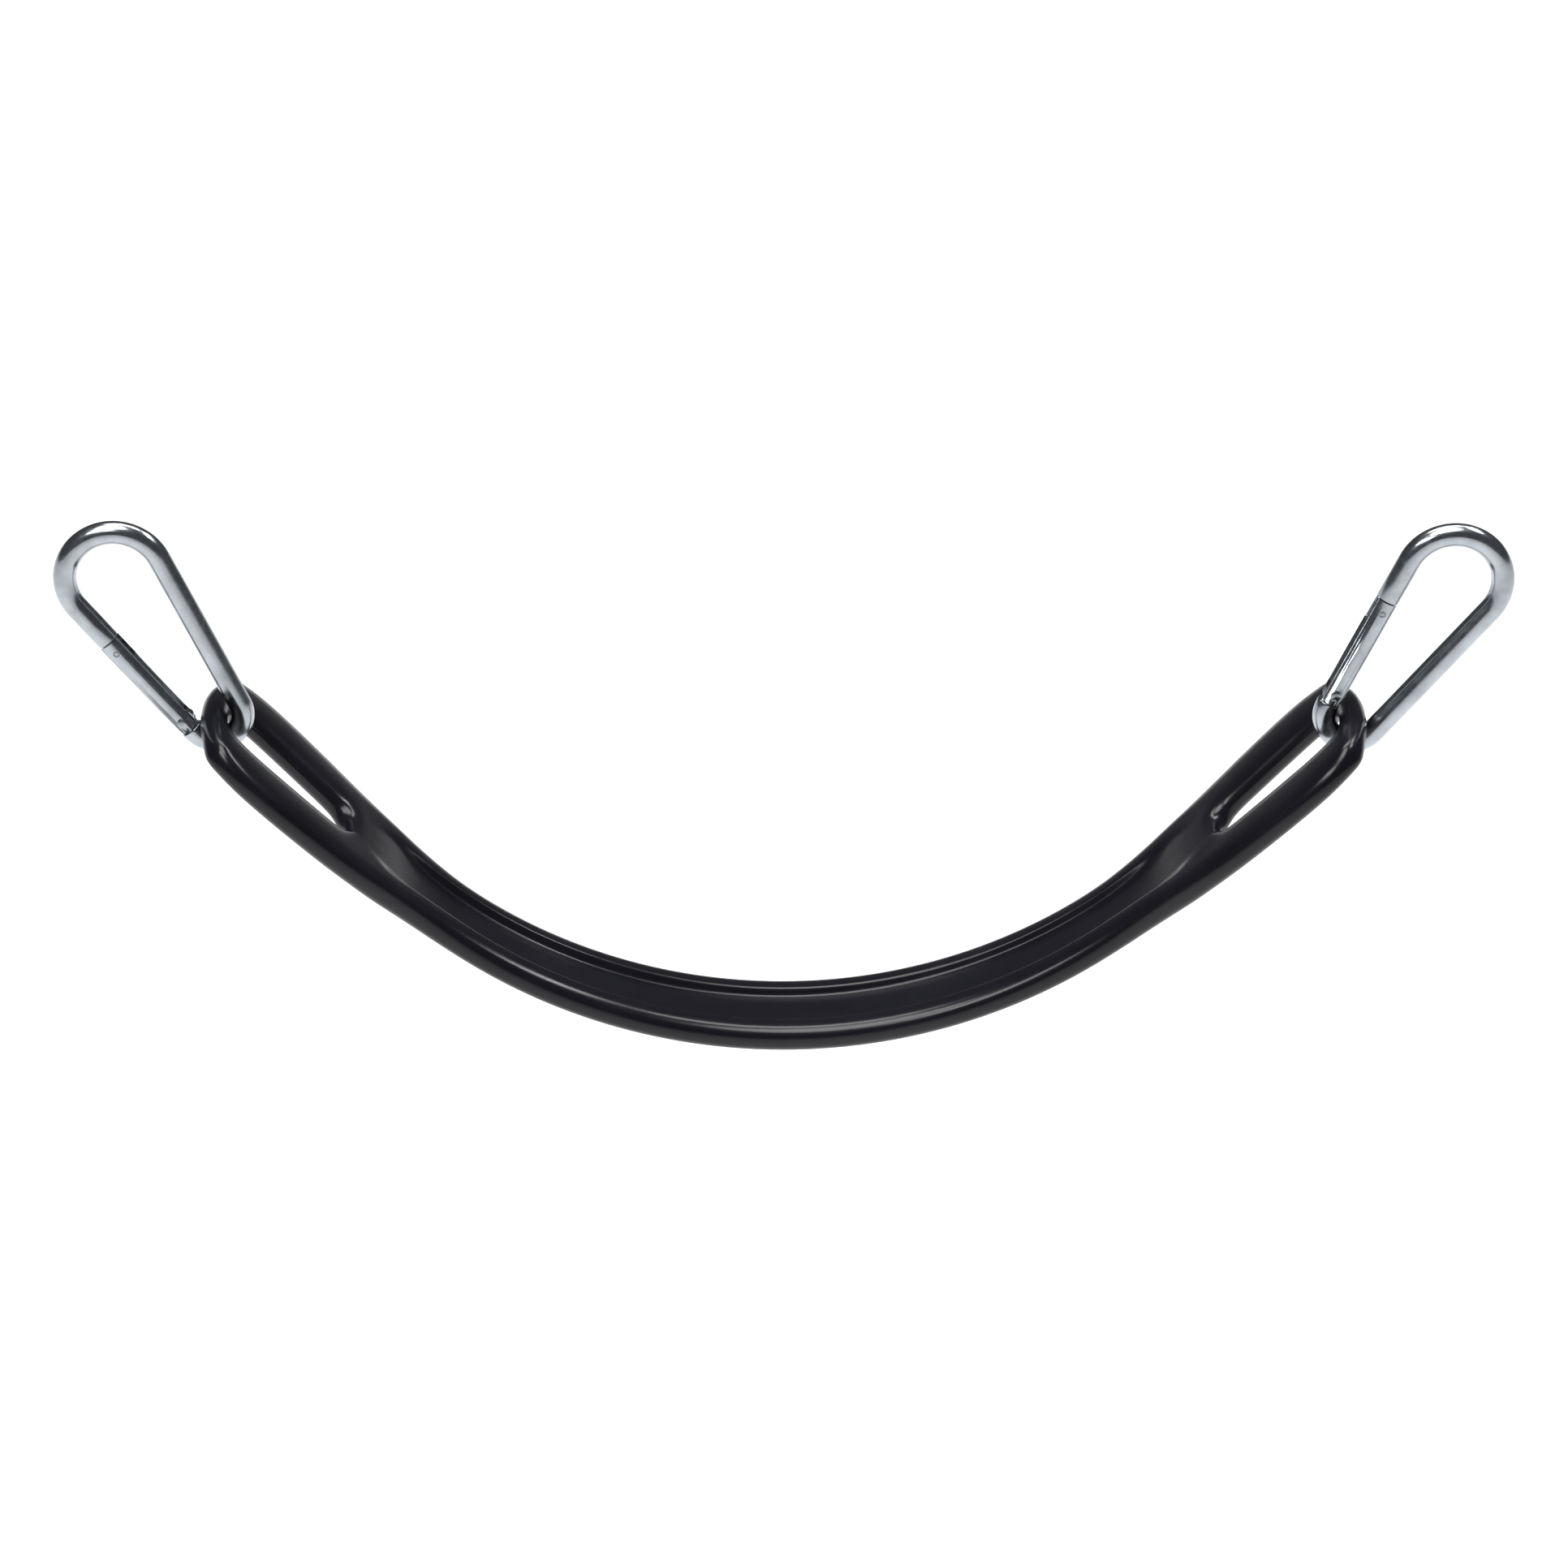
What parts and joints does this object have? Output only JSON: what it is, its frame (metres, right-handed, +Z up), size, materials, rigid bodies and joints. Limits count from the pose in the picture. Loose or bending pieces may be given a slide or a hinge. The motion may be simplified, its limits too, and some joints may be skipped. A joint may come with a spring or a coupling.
{
  "type": "swing strap with snap hooks",
  "caption": "Moulded rubber strap bent to a U, slotted at both ends, with a spring snap hook through each slot for hanging it from ropes or chains.",
  "frame": {"origin": "under the middle of the strap, at the lowest point of its bend", "axes": "+Z up, X along the strap from left hook to right hook, Y across the strap's width; -Y is the side the strap is seen from"},
  "size_m": [0.7385, 0.104, 0.286],
  "materials": {
    "strap_rubber": "semi-gloss",
    "hook_zinc": "bright zinc plated",
    "pin_steel": "satin",
    "spring_steel": "satin"
  },
  "bodies": {
    "strap": {"strap": "strap_rubber"},
    "left_hook": {"left_hook_body": "hook_zinc", "left_hinge_pin": "pin_steel"},
    "left_gate": {"left_gate": "hook_zinc", "left_nose_pin": "pin_steel", "left_gate_spring": "spring_steel"},
    "left_plunger": {"left_plunger": "pin_steel"},
    "right_hook": {"right_hook_body": "hook_zinc", "right_hinge_pin": "pin_steel"},
    "right_gate": {"right_gate": "hook_zinc", "right_nose_pin": "pin_steel", "right_gate_spring": "spring_steel"},
    "right_plunger": {"right_plunger": "pin_steel"}
  },
  "joints": [
    {"name": "left_hook_swing", "type": "hinge", "parent": "strap", "child": "left_hook", "pos_m": [-0.29059, 0, 0.18019], "axis": [0, 1, 0], "range_deg": [-70, 60]},
    {"name": "left_gate_pivot", "type": "hinge", "parent": "left_hook", "child": "left_gate", "pos_m": [-0.30671, 0, 0.17725], "axis": [0, 1, 0], "range_deg": [0, 27], "stiffness_Nm_per_rad": 0.5, "springref_deg": -20.05},
    {"name": "left_plunger_slide", "type": "slide", "parent": "left_gate", "child": "left_plunger", "axis": [-0.6371, 0, 0.7708], "range_m": [0, 0.001]},
    {"name": "right_hook_swing", "type": "hinge", "parent": "strap", "child": "right_hook", "pos_m": [0.29059, 0, 0.18019], "axis": [0, 1, 0], "range_deg": [-60, 70]},
    {"name": "right_gate_pivot", "type": "hinge", "parent": "right_hook", "child": "right_gate", "pos_m": [0.28111, 0, 0.19356], "axis": [0, 1, 0], "range_deg": [0, 27], "stiffness_Nm_per_rad": 0.5, "springref_deg": -20.05},
    {"name": "right_plunger_slide", "type": "slide", "parent": "right_gate", "child": "right_plunger", "axis": [0.4293, 0, 0.9031], "range_m": [0, 0.001]}
  ],
  "couplings": [
    {"joint": "left_plunger_slide", "follows": "left_gate_pivot", "m_per_rad": 0.00209},
    {"joint": "right_plunger_slide", "follows": "right_gate_pivot", "m_per_rad": 0.00209}
  ]
}
